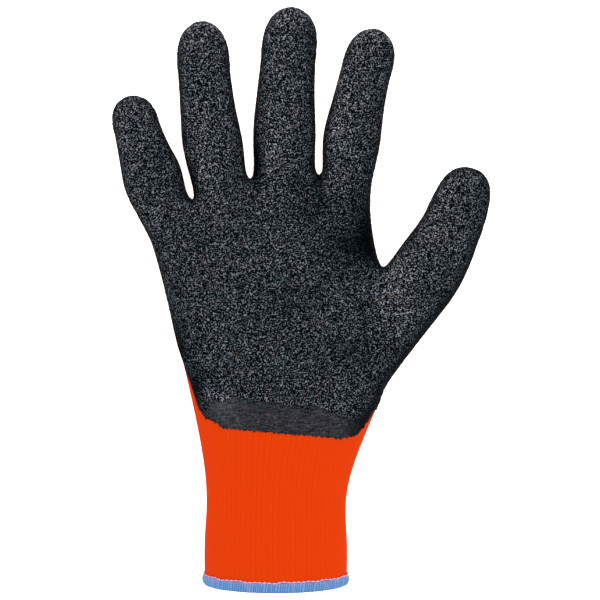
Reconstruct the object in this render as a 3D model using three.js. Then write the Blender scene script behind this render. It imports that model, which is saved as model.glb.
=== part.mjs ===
// Latex coated grip glove for the right hand, lying on its back with the palm up.
// Millimetres. +Y runs from the cuff to the fingertips, +X to the thumb, +Z up from the palm.
// The origin is the middle of the footprint, on the surface that the glove lies on.

import * as THREE from 'three';

// Cuff and palm of the knitted liner
const cuffLength = 41.3;      // hem edge to the wrist
const cuffBreadth = 64.6;
const cuffDepth = 38;
const palmLength = 139;      // wrist to the crotch between ring and middle finger
const palmBreadth = 92;
const palmDepth = 36;
const knitWall = 1.6;
const sectionGap = 0.5;      // between the knitted sections, which the knit joins without a seam

// Fingers and thumb of the knitted liner
const littleLength = 48;
const littleWidth = 19.4;
const ringLength = 73.5;
const ringWidth = 23.8;
const middleLength = 74;
const middleWidth = 25;
const indexLength = 66.5;
const indexWidth = 22.8;
const thumbLength = 83;
const thumbWidth = 26;
const fingerDepthRatio = 0.9;
const fingerRise = 9;        // how far the fingertips curl up from the surface
const thumbRise = 9;
const crotchGap = 4;         // space between two neighbouring knitted fingers at their root
const webRound = 3;          // how far the web between two fingers rounds off to front and back

// How it lies
const restSag = 1.6;         // depth of the round back that its weight flattens
const cuffLift = 2.2;        // height of the cuff's underside above the surface
const cuffTilt = 7;          // how far the palm side of the cuff's edge lies beyond the back side

// Coating
const coatThickness = 0.9;
const clearance = 0.3;
const coatLeftRise = 36;     // how far the coating's lower edge climbs at the little finger's side
const coatRightRise = 15;
const coatSlope = 3.2;       // how far the edge falls from the middle to the thumb's side
const coatLeftStart = 118;   // angles round the wrist from the thumb side, in degrees, where it climbs
const coatRightStart = 50;

// Overlock hem
const hemHeight = 5;
const hemThread = 1.1;       // thickness of the threads on either side of the knit

// Stations along the cuff and palm. along is 0 at the hem, 1 at the wrist and 2 at the finger crotches;
// left, right and depth are shares of that part's breadth and depth, lift a share of the cuff's lift;
// littleSide and thumbSide are the superellipse powers of the two halves of the section.
const stations = [
  { along: 0.00, left: 0.500, right: 0.490, depth: 1.00, lift: 1.0, littleSide: 2.0, thumbSide: 2.0 },
  { along: 0.50, left: 0.500, right: 0.490, depth: 0.98, lift: 0.7, littleSide: 2.0, thumbSide: 2.0 },
  { along: 1.00, left: 0.345, right: 0.344, depth: 1.00, lift: 0.4, littleSide: 2.0, thumbSide: 2.1 },
  { along: 1.15, left: 0.364, right: 0.398, depth: 1.03, lift: 0.1, littleSide: 2.1, thumbSide: 2.2 },
  { along: 1.27, left: 0.392, right: 0.490, depth: 1.06, lift: 0.0, littleSide: 2.1, thumbSide: 2.5 },
  { along: 1.40, left: 0.454, right: 0.572, depth: 1.08, lift: 0.0, littleSide: 2.2, thumbSide: 3.0 },
  { along: 1.53, left: 0.498, right: 0.520, depth: 1.07, lift: 0.0, littleSide: 2.2, thumbSide: 3.4 },
  { along: 1.75, left: 0.574, right: 0.490, depth: 0.97, lift: 0.0, littleSide: 2.3, thumbSide: 3.2 },
  { along: 1.86, left: 0.645, right: 0.452, depth: 0.86, lift: 0.0, littleSide: 2.3, thumbSide: 2.8 },
  { along: 2.00, left: 0.715, right: 0.462, depth: 0.76, lift: 0.0, littleSide: 2.4, thumbSide: 2.5 },
];

// Rows of the knitted surface between hem and knuckles. littleBow and thumbBow are the shares of the
// coating edge's climb that the row follows, knuckleBow the share of the finger roots' line and form,
// and thumbInset the share of the half breadth by which the thumb's side is drawn in at its root.
const rows = [
  { along: 0.03, littleBow: 0.00, thumbBow: 0.0, knuckleBow: 0.0, thumbInset: 0.00 },
  { along: 0.50, littleBow: 0.08, thumbBow: 0.1, knuckleBow: 0.0, thumbInset: 0.00 },
  { along: 1.00, littleBow: 0.36, thumbBow: 0.5, knuckleBow: 0.0, thumbInset: 0.00 },
  { along: 1.19, littleBow: 1.00, thumbBow: 1.0, knuckleBow: 0.0, thumbInset: 0.02 },
  { along: 1.35, littleBow: 0.68, thumbBow: 0.3, knuckleBow: 0.0, thumbInset: 0.06 },
  { along: 1.54, littleBow: 0.36, thumbBow: 0.0, knuckleBow: 0.0, thumbInset: 0.07 },
  { along: 1.765, littleBow: 0.10, thumbBow: 0.0, knuckleBow: 0.2, thumbInset: 0.05 },
  { along: 1.885, littleBow: 0.00, thumbBow: 0.0, knuckleBow: 0.6, thumbInset: 0.01 },
];
const wristRow = 2;
const coatRow = 3;
const thumbRow = 4;

// Ends of the knuckle line and the three finger crotches, as shares of the palm's breadth and length
const crotches = [
  { side: 'outside little finger', across: -0.700, along: 0.928 },
  { side: 'little and ring finger', across: -0.420, along: 0.960 },
  { side: 'ring and middle finger', across: -0.131, along: 1.026 },
  { side: 'middle and index finger', across: 0.208, along: 1.038 },
  { side: 'outside index finger', across: 0.462, along: 1.008 },
];

// Fingers from the little finger's side. lean is the angle to the thumb's side in degrees, at root and tip,
// and flare the share by which the finger widens towards its root.
const fingers = [
  { name: 'little_finger', length: littleLength, width: littleWidth, rootLean: -20, tipLean: -14, flare: 0.3 },
  { name: 'ring_finger', length: ringLength, width: ringWidth, rootLean: -12, tipLean: -1, flare: 0 },
  { name: 'middle_finger', length: middleLength, width: middleWidth, rootLean: -1, tipLean: 7.5, flare: 0 },
  { name: 'index_finger', length: indexLength, width: indexWidth, rootLean: 6, tipLean: 18, flare: 0 },
];

// Sections of a finger: along is a share of its length, width and depth shares of its width and depth
const fingerSections = [
  { along: 0.22, width: 1.07, depth: 1.02 },
  { along: 0.45, width: 1.00, depth: 1.00 },
  { along: 0.70, width: 0.93, depth: 0.92 },
  { along: 0.90, width: 0.78, depth: 0.74 },
];

// Sections of the thumb. lean is the angle of its middle line to the hand's length in degrees.
const thumbSections = [
  { along: 0.22, lean: 54, width: 1.27, depth: 1.16 },
  { along: 0.44, lean: 37, width: 1.18, depth: 1.07 },
  { along: 0.67, lean: 28, width: 1.00, depth: 1.00 },
  { along: 0.91, lean: 21, width: 0.77, depth: 0.76 },
];
const thumbTipLean = 22;

const frontColumns = 12;
const halfTurn = Math.PI;
const knucklesFrom = 1.2;    // where along the hand its columns start to draw towards the fingers
const fitRounds = 14;
const radians = THREE.MathUtils.degToRad;

const stretch = (along) => (along <= 1
  ? along * cuffLength
  : cuffLength + (along - 1) * palmLength);

const handStations = stations.map((station) => {
  const breadth = station.along < 1 ? cuffBreadth : palmBreadth;
  const depth = station.along < 1 ? cuffDepth : palmDepth;
  return {
    y: stretch(station.along),
    left: -station.left * breadth,
    right: station.right * breadth,
    depth: station.depth * depth,
    lift: station.lift,
    littleSide: station.littleSide,
    thumbSide: station.thumbSide,
  };
});

// The hand's section at the height y, between the two stations around it.
function sectionAt(y) {
  let above = handStations.findIndex((station) => station.y >= y);
  if (above < 1) above = above < 0 ? handStations.length - 1 : 1;
  const low = handStations[above - 1];
  const high = handStations[above];
  const share = THREE.MathUtils.clamp((y - low.y) / (high.y - low.y), 0, 1);
  const section = {};
  for (const key of Object.keys(low)) section[key] = THREE.MathUtils.lerp(low[key], high[key], share);
  return section;
}

// A rounded section's height over its middle at the share u of its half breadth.
const superellipse = (u, power) => Math.pow(Math.max(0, 1 - Math.pow(Math.abs(u), power)), 1 / power);

// A quad of the surface: its corners, the knitted section that it belongs to and whether latex covers it.
const points = [];
const quads = [];
const quad = (corners, section, coated) => ({ corners, section, coated });

function addPoint(x, y, z) {
  points.push(new THREE.Vector3(x, y, z));
  return points.length - 1;
}

// Quads between two rings of equal length, but for the places that skip names.
function joinRings(low, high, section, isCoated, skip = []) {
  low.forEach((corner, index) => {
    if (skip.includes(index)) return;
    const next = (index + 1) % low.length;
    quads.push(quad([corner, low[next], high[next], high[index]], section, isCoated(index)));
  });
}

// Four quads that close a ring of eight over one tip point.
function capRing(ring, tip, section) {
  const [frontA, front, frontB, sideB, backB, back, backA, sideA] = ring;
  quads.push(quad([frontA, front, tip, sideA], section, true));
  quads.push(quad([front, frontB, sideB, tip], section, true));
  quads.push(quad([sideA, tip, back, backA], section, true));
  quads.push(quad([tip, sideB, backB, back], section, true));
}

// Eight points around a finger: across its width a and depth b, seen along its length.
const cornerShare = Math.pow(0.5, 1 / 2.3);
const eightAround = [
  { across: -cornerShare, up: cornerShare },
  { across: 0, up: 1 },
  { across: cornerShare, up: cornerShare },
  { across: 1, up: 0 },
  { across: cornerShare, up: -cornerShare },
  { across: 0, up: -1 },
  { across: -cornerShare, up: -cornerShare },
  { across: -1, up: 0 },
];

// A ring of eight at the centre, square to a direction that leans in the plane and climbs from it.
function addRing(centre, lean, climb, width, depth) {
  const across = new THREE.Vector3(Math.cos(lean), -Math.sin(lean), 0);
  const along = new THREE.Vector3(
    Math.sin(lean) * Math.cos(climb),
    Math.cos(lean) * Math.cos(climb),
    Math.sin(climb),
  );
  const up = new THREE.Vector3().crossVectors(across, along);
  return eightAround.map((place) => {
    const point = centre.clone()
      .addScaledVector(across, place.across * width / 2)
      .addScaledVector(up, place.up * depth / 2);
    return addPoint(point.x, point.y, point.z);
  });
}

const frontOfRing = (index) => index < 3 || index === 7;

// The finger roots: a ring of eight each, which share the web between them.
const knuckleSection = sectionAt(stretch(2));
const crotchPoints = crotches.map((crotch) => ({
  x: crotch.across * palmBreadth,
  y: cuffLength + crotch.along * palmLength,
}));

const fingerRoots = fingers.map((finger, index) => {
  const start = crotchPoints[index];
  const end = crotchPoints[index + 1];
  const left = start.x + (index > 0 ? crotchGap / 2 : 0);
  const right = end.x - (index < fingers.length - 1 ? crotchGap / 2 : 0);
  const middle = (left + right) / 2;
  const half = (right - left) / 2;
  const rootHalf = (knuckleSection.depth / 2) * (finger.width / middleWidth);
  const rootMiddle = rootHalf - restSag;
  const ring = eightAround.map((place) => {
    const share = (place.across + 1) / 2;
    const onWeb = place.across === 0 ? 0 : Math.abs(place.up);
    return addPoint(
      middle + place.across * half,
      THREE.MathUtils.lerp(start.y, end.y, share) - webRound * onWeb,
      rootMiddle + place.up * rootHalf,
    );
  });
  return { ring, centre: new THREE.Vector3(middle, (start.y + end.y) / 2, rootMiddle) };
});

for (let web = 0; web < fingers.length - 1; web += 1) {
  const [, , frontB, sideB, backB] = fingerRoots[web].ring;
  const next = fingerRoots[web + 1].ring;
  quads.push(quad([frontB, next[0], next[7], sideB], 'palm', true));
  quads.push(quad([sideB, next[7], next[6], backB], 'palm', false));
}

// Each finger: its middle line leans evenly from root to tip and curls up with the square of its length.
fingers.forEach((finger, index) => {
  const { ring: root, centre: rootCentre } = fingerRoots[index];
  const depth = finger.width * fingerDepthRatio;
  const centreAt = (share) => {
    const lean = radians(THREE.MathUtils.lerp(finger.rootLean, finger.tipLean, share / 2));
    return new THREE.Vector3(
      rootCentre.x + finger.length * share * Math.sin(lean),
      rootCentre.y + finger.length * share * Math.cos(lean),
      rootCentre.z + fingerRise * share * share,
    );
  };
  let ring = root;
  for (const section of fingerSections) {
    const lean = radians(THREE.MathUtils.lerp(finger.rootLean, finger.tipLean, section.along));
    const climb = Math.atan2(2 * fingerRise * section.along, finger.length);
    const width = section.width * finger.width * (1 + finger.flare * (1 - section.along));
    const next = addRing(centreAt(section.along), lean, climb, width, section.depth * depth);
    const beyondPad = section === fingerSections[fingerSections.length - 1];
    joinRings(ring, next, finger.name, (side) => beyondPad || frontOfRing(side));
    ring = next;
  }
  const tip = centreAt(1);
  capRing(ring, addPoint(tip.x, tip.y, tip.z), finger.name);
});

// The palm's rows. A row's 26 places run over the palm from the little finger's side to the thumb's side,
// round the side and back under the hand.
const sidePlace = frontColumns;
const ringPlaces = [];
for (let column = 0; column < frontColumns; column += 1) ringPlaces.push({ column, up: 1 });
ringPlaces.push({ column: frontColumns, up: 0 });
for (let column = frontColumns - 1; column >= 0; column -= 1) ringPlaces.push({ column, up: -1 });
ringPlaces.push({ column: -1, up: 0 });

const knuckleRing = ringPlaces.map(({ column, up }) => {
  if (column < 0) return fingerRoots[0].ring[7];
  if (column >= frontColumns) return fingerRoots[fingers.length - 1].ring[3];
  const { ring } = fingerRoots[Math.floor(column / 3)];
  return up > 0 ? ring[column % 3] : ring[6 - (column % 3)];
});
const knuckleCentre = (knuckleSection.left + knuckleSection.right) / 2;
const knuckleBreadth = (knuckleSection.right - knuckleSection.left) / 2;
const knuckleMean = crotchPoints.reduce((sum, point) => sum + point.y, 0) / crotchPoints.length;

// How far the coating's lower edge lies from its lowest row at an angle around the wrist.
const littleClimbPower = 6;
const thumbClimbPower = 3;
function edgeClimb(angle, row) {
  const littleStart = radians(coatLeftStart);
  const thumbStart = radians(coatRightStart);
  const toLittle = Math.max(0, (angle - littleStart) / (halfTurn - littleStart));
  const toThumb = Math.max(0, (thumbStart - angle) / thumbStart);
  return row.littleBow * (coatLeftRise * Math.pow(toLittle, littleClimbPower) - coatSlope * Math.cos(angle))
    + row.thumbBow * coatRightRise * Math.pow(toThumb, thumbClimbPower);
}

const palmRings = rows.map((row, rowIndex) => ringPlaces.map(({ column, up }) => {
  if (rowIndex === thumbRow + 1 && column === frontColumns) return -1;
  const angle = halfTurn * (1 - (column + 1) / (frontColumns + 1));
  const place = ringPlaces.findIndex((other) => other.column === column && other.up === up);
  const knuckle = points[knuckleRing[place]];
  const toKnuckles = THREE.MathUtils.smoothstep(row.along, knucklesFrom, 2);
  const spread = THREE.MathUtils.lerp(
    Math.cos(angle), (knuckle.x - knuckleCentre) / knuckleBreadth, up === 0 ? 0 : toKnuckles,
  );
  const u = spread * (spread > 0 && up !== 0 ? 1 - row.thumbInset : 1);
  const level = stretch(row.along) + edgeClimb(angle, row) + row.knuckleBow * (knuckle.y - knuckleMean);
  const section = sectionAt(level);
  const half = section.depth / 2;
  const underside = section.lift * cuffLift - (1 - section.lift) * restSag;
  const height = superellipse(u, u < 0 ? section.littleSide : section.thumbSide);
  const ownHeight = underside + half * (1 + up * height);
  const z = THREE.MathUtils.lerp(ownHeight, knuckle.z, row.knuckleBow);
  const tilt = cuffTilt * (z / section.depth - 0.5) * Math.max(0, 1 - row.along);
  return addPoint(
    (section.left + section.right) / 2 + u * (section.right - section.left) / 2,
    level - tilt,
    z,
  );
}));

const thumbSkips = [sidePlace - 1, sidePlace];
const frontOfPalm = (index) => index < frontColumns || index === ringPlaces.length - 1;
[...palmRings, knuckleRing].forEach((ring, row, all) => {
  if (row === 0) return;
  const low = row - 1;
  const skip = low === thumbRow || low === thumbRow + 1 ? thumbSkips : [];
  const section = low < wristRow ? 'cuff' : 'palm';
  joinRings(all[low], ring, section, (index) => low >= coatRow && frontOfPalm(index), skip);
});

// The thumb grows out of the palm's side, from the eight points around the gap in its rows.
const [lowRing, middleRing, highRing] = palmRings.slice(thumbRow, thumbRow + 3);
const thumbRoot = [
  highRing[sidePlace - 1], middleRing[sidePlace - 1], lowRing[sidePlace - 1], lowRing[sidePlace],
  lowRing[sidePlace + 1], middleRing[sidePlace + 1], highRing[sidePlace + 1], highRing[sidePlace],
];
const thumbOrigin = new THREE.Vector3();
for (const corner of thumbRoot) thumbOrigin.addScaledVector(points[corner], 1 / thumbRoot.length);
let thumbRing = thumbRoot;
let thumbCentre = thumbOrigin;
let reached = 0;
for (const section of thumbSections) {
  const lean = radians(section.lean);
  const step = (section.along - reached) * thumbLength;
  const climb = Math.atan2(2 * thumbRise * section.along, thumbLength);
  thumbCentre = new THREE.Vector3(
    thumbCentre.x + step * Math.sin(lean),
    thumbCentre.y + step * Math.cos(lean),
    thumbOrigin.z + thumbRise * section.along * section.along,
  );
  const next = addRing(
    thumbCentre, lean, climb, section.width * thumbWidth, section.depth * thumbWidth * fingerDepthRatio,
  );
  const beyondPad = section === thumbSections[thumbSections.length - 1];
  joinRings(thumbRing, next, 'thumb', (side) => beyondPad || frontOfRing(side));
  thumbRing = next;
  reached = section.along;
}
const lastStep = (1 - reached) * thumbLength;
const tipLean = radians(thumbTipLean);
capRing(thumbRing, addPoint(
  thumbCentre.x + lastStep * Math.sin(tipLean),
  thumbCentre.y + lastStep * Math.cos(tipLean),
  thumbOrigin.z + thumbRise,
), 'thumb');

// Each point's neighbours along edges and across quads, and along the open edge where it lies on it.
function neighbours(count, faces) {
  const around = Array.from({ length: count }, () => ({ edges: new Map(), opposite: [], faces: [] }));
  faces.forEach(({ corners }, face) => {
    corners.forEach((corner, index) => {
      const next = corners[(index + 1) % 4];
      const before = corners[(index + 3) % 4];
      const own = around[corner];
      own.opposite.push(corners[(index + 2) % 4]);
      own.faces.push(face);
      own.edges.set(next, (own.edges.get(next) || 0) + 1);
      own.edges.set(before, (own.edges.get(before) || 0) + 1);
    });
  });
  return around.map(({ edges, opposite, faces: own }) => {
    const all = [...edges.keys()];
    return { edges: all, opposite, faces: own, open: all.filter((other) => edges.get(other) === 1) };
  });
}

const sumOf = (places, indices) => {
  const sum = new THREE.Vector3();
  for (const index of indices) sum.add(places[index]);
  return sum;
};

// Where smooth subdivision brings each point in the end.
function limitPoints(places, around) {
  return places.map((point, index) => {
    const { edges, opposite, open } = around[index];
    if (open.length === 2) return point.clone().multiplyScalar(4).add(sumOf(places, open)).divideScalar(6);
    const n = edges.length;
    return point.clone().multiplyScalar(n * n)
      .addScaledVector(sumOf(places, edges), 4)
      .add(sumOf(places, opposite))
      .divideScalar(n * (n + 5));
  });
}

// Moves a coarse net until the smooth surface goes through the points that it started from.
function fitNet(targets, faces, rounds) {
  const around = neighbours(targets.length, faces);
  const net = targets.map((point) => point.clone());
  for (let round = 0; round < rounds; round += 1) {
    const limit = limitPoints(net, around);
    net.forEach((point, index) => point.add(targets[index]).sub(limit[index]));
  }
  return net;
}

// One step of smooth subdivision: a point for each quad and edge, and four quads in place of one.
function subdivide(places, faces) {
  const around = neighbours(places.length, faces);
  const centres = faces.map(({ corners }) => sumOf(places, corners).divideScalar(4));
  const result = places.map((point, index) => {
    const { edges, faces: own, open } = around[index];
    if (open.length === 2) return point.clone().multiplyScalar(6).add(sumOf(places, open)).divideScalar(8);
    const n = edges.length;
    return point.clone().multiplyScalar(n * (n - 2))
      .add(sumOf(places, edges))
      .add(sumOf(centres, own))
      .divideScalar(n * n);
  });
  const firstCentre = result.length;
  result.push(...centres);
  const edgePoints = new Map();
  const edgePoint = (a, b) => {
    const key = Math.min(a, b) * places.length + Math.max(a, b);
    if (!edgePoints.has(key)) {
      const shared = around[a].faces.filter((face) => around[b].faces.includes(face));
      const ends = places[a].clone().add(places[b]);
      const point = shared.length === 2
        ? ends.add(centres[shared[0]]).add(centres[shared[1]]).divideScalar(4)
        : ends.divideScalar(2);
      edgePoints.set(key, result.push(point) - 1);
    }
    return edgePoints.get(key);
  };
  const finer = faces.flatMap(({ corners, section, coated }, face) => corners.map((corner, index) => quad([
    corner,
    edgePoint(corner, corners[(index + 1) % 4]),
    firstCentre + face,
    edgePoint(corners[(index + 3) % 4], corner),
  ], section, coated)));
  return { places: result, faces: finer };
}

// Leaves out the points that no quad uses.
function compact(places, faces) {
  const used = [...new Set(faces.flatMap(({ corners }) => corners))].sort((a, b) => a - b);
  const renumbered = new Map(used.map((old, index) => [old, index]));
  return {
    places: used.map((old) => places[old]),
    faces: faces.map(({ corners, section, coated }) => quad(
      corners.map((corner) => renumbered.get(corner)), section, coated,
    )),
  };
}

const net = compact(points, quads);
net.places = fitNet(net.places, net.faces, fitRounds);
const surface = subdivide(net.places, net.faces);
surface.places = limitPoints(surface.places, neighbours(surface.places.length, surface.faces));
for (const point of surface.places) point.z = Math.max(0, point.z);

// A normal for each point, from the quads around it weighted by their area.
function normalsOf({ places, faces }) {
  const normals = places.map(() => new THREE.Vector3());
  for (const { corners } of faces) {
    const [a, b, c, d] = corners.map((corner) => places[corner]);
    const normal = new THREE.Vector3().crossVectors(c.clone().sub(a), d.clone().sub(b));
    for (const corner of corners) normals[corner].add(normal);
  }
  return normals.map((normal) => normal.normalize());
}

const surfaceNormals = normalsOf(surface);
const offset = (distance) => surface.places.map((point, index) => point.clone()
  .addScaledVector(surfaceNormals[index], distance));

// A closed shell between an outer and an inner layer of the same quads, with its open edges joined.
function shellGeometry(outer, inner, faces) {
  const count = outer.length;
  const triangles = [];
  const addQuad = (a, b, c, d) => triangles.push(a, b, c, a, c, d);
  const edges = new Map();
  for (const { corners } of faces) {
    const [a, b, c, d] = corners;
    addQuad(a, b, c, d);
    addQuad(count + a, count + d, count + c, count + b);
    corners.forEach((corner, index) => edges.set(`${corner} ${corners[(index + 1) % 4]}`, [
      corner, corners[(index + 1) % 4],
    ]));
  }
  for (const [from, to] of edges.values()) {
    if (!edges.has(`${to} ${from}`)) addQuad(to, from, count + from, count + to);
  }
  return geometryOf([...outer, ...inner], triangles);
}

function geometryOf(places, triangles) {
  const used = [...new Set(triangles)].sort((a, b) => a - b);
  const renumbered = new Map(used.map((old, index) => [old, index]));
  const geometry = new THREE.BufferGeometry();
  geometry.setAttribute('position', new THREE.Float32BufferAttribute(
    used.flatMap((index) => places[index].toArray()), 3,
  ));
  geometry.setIndex(triangles.map((index) => renumbered.get(index)));
  geometry.computeVertexNormals();
  return geometry;
}

// One knitted section. Where it meets the next one its edge is drawn back by half the gap.
const surfaceAround = neighbours(surface.places.length, surface.faces);
const knit = new THREE.MeshStandardMaterial({ color: 0xe8500c, roughness: 0.9, metalness: 0 });
function knitSection(section) {
  const outer = surface.places.map((point, index) => {
    const own = surfaceAround[index].faces.filter((face) => surface.faces[face].section === section);
    if (own.length === 0 || own.length === surfaceAround[index].faces.length) return point;
    const towards = new THREE.Vector3();
    for (const face of own) {
      towards.add(sumOf(surface.places, surface.faces[face].corners).divideScalar(4).sub(point));
    }
    towards.addScaledVector(surfaceNormals[index], -towards.dot(surfaceNormals[index]));
    return point.clone().addScaledVector(towards.normalize(), sectionGap / 2);
  });
  const inner = outer.map((point, index) => point.clone()
    .addScaledVector(surfaceNormals[index], -knitWall));
  const faces = surface.faces.filter((face) => face.section === section);
  return named(`knit_${section}`, shellGeometry(outer, inner, faces), knit);
}

function latexCoating() {
  const coated = surface.faces.filter((face) => face.coated);
  const geometry = shellGeometry(offset(clearance + coatThickness), offset(clearance), coated);
  const material = new THREE.MeshStandardMaterial({ color: 0x22252a, roughness: 0.45, metalness: 0 });
  return named('latex_coating', geometry, material);
}

function named(name, geometry, material) {
  const mesh = new THREE.Mesh(geometry, material);
  mesh.name = name;
  return mesh;
}

// The overlock hem: a U of thread over the cuff's edge, carried round it. out is the distance from the
// knit's outer face and up the distance from its edge.
function overlockHem() {
  const outside = clearance + hemThread;
  const inside = -knitWall - clearance - hemThread;
  const below = -clearance - hemThread;
  const above = hemHeight + below;
  const bevel = hemThread / 2;
  const profile = [
    { out: clearance, up: above },
    { out: outside - bevel, up: above },
    { out: outside, up: above - bevel },
    { out: outside, up: below + hemThread },
    { out: outside - hemThread, up: below },
    { out: inside + hemThread, up: below },
    { out: inside, up: below + hemThread },
    { out: inside, up: above - bevel },
    { out: inside + bevel, up: above },
    { out: -knitWall - clearance, up: above },
    { out: -knitWall - clearance, up: -clearance },
    { out: clearance, up: -clearance },
  ];
  const start = surfaceAround.findIndex((own) => own.open.length === 2);
  const ring = [start];
  let next = surfaceAround[start].open[0];
  while (next !== start) {
    ring.push(next);
    next = surfaceAround[next].open.find((other) => other !== ring[ring.length - 2]);
  }
  const places = ring.flatMap((index) => {
    const { edges, open } = surfaceAround[index];
    const inward = edges.find((other) => !open.includes(other));
    const along = surface.places[inward].clone().sub(surface.places[index]).normalize();
    return profile.map(({ out, up }) => surface.places[index].clone()
      .addScaledVector(surfaceNormals[index], out)
      .addScaledVector(along, up));
  });
  const triangles = [];
  ring.forEach((unused, index) => profile.forEach((alsoUnused, place) => {
    const after = (index + 1) % ring.length;
    const beside = (place + 1) % profile.length;
    const a = index * profile.length + place;
    const b = index * profile.length + beside;
    const c = after * profile.length + beside;
    const d = after * profile.length + place;
    triangles.push(a, b, c, a, c, d);
  }));
  return named('hem_overlock', outwardGeometry(places, triangles), new THREE.MeshStandardMaterial({
    color: 0x6f9be0, roughness: 0.8, metalness: 0,
  }));
}

// Turns all triangles round where they enclose a negative volume.
function outwardGeometry(places, triangles) {
  let volume = 0;
  for (let first = 0; first < triangles.length; first += 3) {
    const [a, b, c] = triangles.slice(first, first + 3).map((index) => places[index]);
    volume += a.dot(new THREE.Vector3().crossVectors(b, c));
  }
  return geometryOf(places, volume > 0 ? triangles : [...triangles].reverse());
}

const glove = new THREE.Group();
for (const section of ['cuff', 'palm', ...fingers.map((finger) => finger.name), 'thumb']) {
  glove.add(knitSection(section));
}
glove.add(latexCoating(), overlockHem());

const box = new THREE.Box3().setFromObject(glove);
const middle = box.getCenter(new THREE.Vector3());
glove.position.set(-middle.x, -middle.y, 0);
glove.updateMatrixWorld(true);

export default glove;
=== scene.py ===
"""A latex coated work glove for the right hand, lying on its back with the palm up.

The knit is one smooth surface over a coarse net of quads: rings around the cuff and palm, rings around each
finger and the thumb, and the webs between them. Lengths are in metres, +Y runs to the fingertips and +X to the
thumb.
"""

import math

import bpy
import numpy as np
from bpy.props import FloatProperty, IntProperty, PointerProperty
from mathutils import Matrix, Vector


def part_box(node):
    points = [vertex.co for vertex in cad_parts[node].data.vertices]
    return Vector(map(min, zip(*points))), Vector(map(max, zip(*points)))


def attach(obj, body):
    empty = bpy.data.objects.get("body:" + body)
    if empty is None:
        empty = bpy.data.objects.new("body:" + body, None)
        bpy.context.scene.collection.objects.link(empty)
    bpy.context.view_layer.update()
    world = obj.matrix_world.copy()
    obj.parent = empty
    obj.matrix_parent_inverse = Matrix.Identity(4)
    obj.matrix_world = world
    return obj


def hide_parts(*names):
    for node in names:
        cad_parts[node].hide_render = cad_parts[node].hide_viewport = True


bl_info = {
    "name": "Coated Work Glove",
    "version": (1, 0, 0),
    "blender": (4, 5, 0),
    "location": "View3D > Sidebar > Glove",
    "description": "A knit work glove with a crinkled latex palm, built around its measured frame",
    "category": "Object",
}

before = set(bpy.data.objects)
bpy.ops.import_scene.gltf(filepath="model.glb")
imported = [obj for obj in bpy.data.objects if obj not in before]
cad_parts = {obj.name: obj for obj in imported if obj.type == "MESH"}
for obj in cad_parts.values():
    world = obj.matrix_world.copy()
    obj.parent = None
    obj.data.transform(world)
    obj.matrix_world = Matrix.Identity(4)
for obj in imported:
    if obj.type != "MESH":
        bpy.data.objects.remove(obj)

KNIT_NODES = (
    "knit_cuff",
    "knit_palm",
    "knit_little_finger",
    "knit_ring_finger",
    "knit_middle_finger",
    "knit_index_finger",
    "knit_thumb",
)

# Stations along the cuff and palm: along is 0 at the hem, 1 at the wrist and 2 at the finger crotches. left,
# right and depth are shares of that part's breadth and depth, lift a share of the cuff's lift, and the last two
# the superellipse powers of the section's halves.
STATION_COLUMNS = ("along", "left", "right", "depth", "lift", "little_side", "thumb_side")
STATIONS = (
    (0.00, 0.500, 0.490, 1.00, 1.0, 2.0, 2.0),
    (0.50, 0.500, 0.490, 0.98, 0.7, 2.0, 2.0),
    (1.00, 0.345, 0.344, 1.00, 0.4, 2.0, 2.1),
    (1.15, 0.364, 0.398, 1.03, 0.1, 2.1, 2.2),
    (1.27, 0.392, 0.490, 1.06, 0.0, 2.1, 2.5),
    (1.40, 0.454, 0.572, 1.08, 0.0, 2.2, 3.0),
    (1.53, 0.498, 0.520, 1.07, 0.0, 2.2, 3.4),
    (1.75, 0.574, 0.490, 0.97, 0.0, 2.3, 3.2),
    (1.86, 0.645, 0.452, 0.86, 0.0, 2.3, 2.8),
    (2.00, 0.715, 0.462, 0.76, 0.0, 2.4, 2.5),
)

# Rows of the net between hem and knuckles: the shares of the coating edge's climb and of the knuckle line that
# each follows, and of the half breadth by which the thumb's side is drawn in.
ROW_COLUMNS = ("along", "little_bow", "thumb_bow", "knuckle_bow", "thumb_inset")
ROWS = (
    (0.03, 0.00, 0.0, 0.0, 0.00),
    (0.50, 0.08, 0.1, 0.0, 0.00),
    (1.00, 0.36, 0.5, 0.0, 0.00),
    (1.19, 1.00, 1.0, 0.0, 0.02),
    (1.35, 0.68, 0.3, 0.0, 0.06),
    (1.54, 0.36, 0.0, 0.0, 0.07),
    (1.765, 0.10, 0.0, 0.2, 0.05),
    (1.885, 0.00, 0.0, 0.6, 0.01),
)
COAT_ROW = 3
THUMB_ROW = 4

# Ends of the knuckle line and the crotches between the fingers, as shares of the palm's breadth and length
CROTCH_COLUMNS = ("across", "along")
CROTCHES = (
    (-0.700, 0.928),
    (-0.420, 0.960),
    (-0.131, 1.026),
    (0.208, 1.038),
    (0.462, 1.008),
)

# Fingers from little to index: lean to the thumb's side in degrees at root and tip, and the share by which the
# finger widens towards its root
LEAN_COLUMNS = ("root", "tip", "flare")
LEANS = ((-20, -14, 0.3), (-12, -1, 0), (-1, 7.5, 0), (6, 18, 0))

# Sections of the fingers and the thumb, as shares of their length, width and depth
FINGER_COLUMNS = ("along", "width", "depth")
FINGER_SECTIONS = ((0.22, 1.07, 1.02), (0.45, 1.00, 1.00), (0.70, 0.93, 0.92), (0.90, 0.78, 0.74))
THUMB_COLUMNS = ("along", "lean", "width", "depth")
THUMB_SECTIONS = (
    (0.22, 54, 1.27, 1.16),
    (0.44, 37, 1.18, 1.07),
    (0.67, 28, 1.00, 1.00),
    (0.91, 21, 0.77, 0.76),
)
THUMB_TIP_LEAN = 22

# Along the hand, as in the stations: the finger crotches, and where the palm's rings turn to the knuckles
AT_CROTCHES = 2.0
KNUCKLES_FROM = 1.2
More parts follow.
